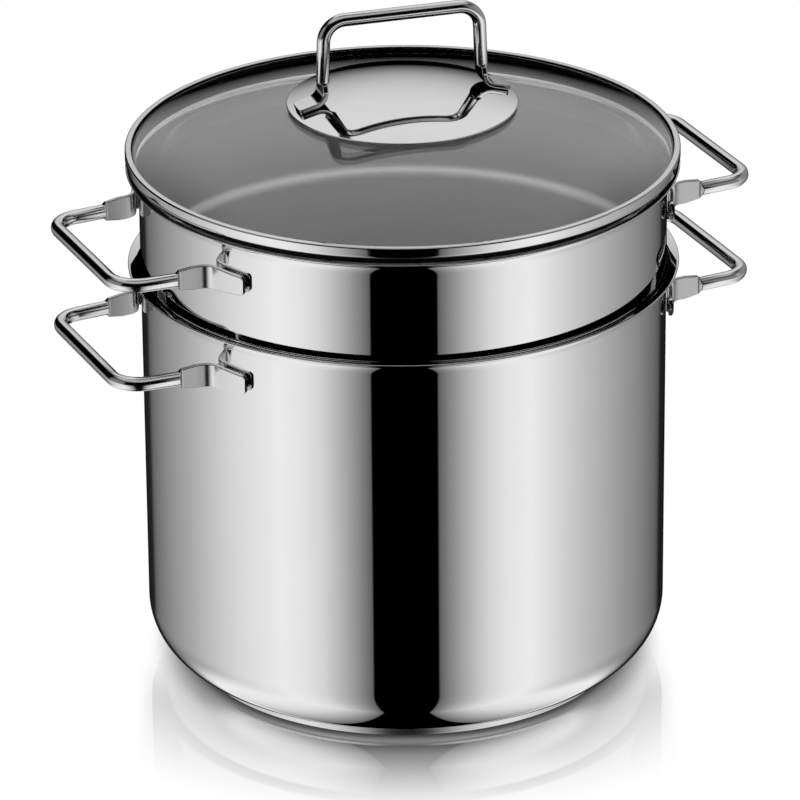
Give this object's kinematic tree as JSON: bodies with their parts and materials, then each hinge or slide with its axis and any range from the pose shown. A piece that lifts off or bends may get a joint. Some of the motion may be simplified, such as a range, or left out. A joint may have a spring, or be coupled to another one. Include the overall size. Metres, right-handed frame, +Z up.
{
  "type": "pasta pot with strainer",
  "caption": "Tall stainless steel pasta pot with a lift-out perforated strainer that rests in its lip, and a domed glass lid with a steel rim and a bow grip.",
  "frame": {"origin": "centre of the base's underside, on the pot's axis", "axes": "+Z up along the pot's axis; the picture's viewer stands at -Y; +X to the viewer's right"},
  "size_m": [0.32, 0.2538, 0.3173],
  "materials": {
    "polished_steel": "mirror-polished stainless steel",
    "strainer_steel": "mirror-polished stainless steel outside, satin inside",
    "handle_steel": "polished stainless steel rod",
    "rim_steel": "polished stainless steel band",
    "plate_steel": "polished stainless steel",
    "base_steel": "circular brushed stainless steel",
    "pad_steel": "plain stainless steel",
    "fastener_steel": "turned stainless steel",
    "core_aluminium": "plain aluminium disc",
    "lid_glass": "clear tempered glass",
    "silicone": "grey silicone"
  },
  "bodies": {
    "pot": {"pot_shell": "polished_steel", "base_core": "core_aluminium", "base_cap": "base_steel", "pot_handle_left": "handle_steel", "pot_left_front_weld_pad": "pad_steel", "pot_left_back_weld_pad": "pad_steel", "pot_handle_right": "handle_steel", "pot_right_back_weld_pad": "pad_steel", "pot_right_front_weld_pad": "pad_steel"},
    "strainer": {"strainer_shell": "strainer_steel", "strainer_handle_left": "handle_steel", "strainer_left_front_weld_pad": "pad_steel", "strainer_left_back_weld_pad": "pad_steel", "strainer_handle_right": "handle_steel", "strainer_right_back_weld_pad": "pad_steel", "strainer_right_front_weld_pad": "pad_steel"},
    "lid": {"lid_glass": "lid_glass", "lid_rim_band": "rim_steel", "lid_plate": "plate_steel", "lid_bow": "handle_steel", "lid_upper_gasket": "silicone", "lid_boss": "pad_steel", "lid_lower_gasket": "silicone", "lid_washer": "fastener_steel", "lid_screw": "fastener_steel"}
  },
  "joints": [
    {"name": "strainer_lift", "type": "slide", "parent": "pot", "child": "strainer", "axis": [0, 0, 1], "range_m": [0, 0.2]},
    {"name": "lid_lift", "type": "slide", "parent": "strainer", "child": "lid", "axis": [0, 0, 1], "range_m": [0, 0.1]}
  ]
}
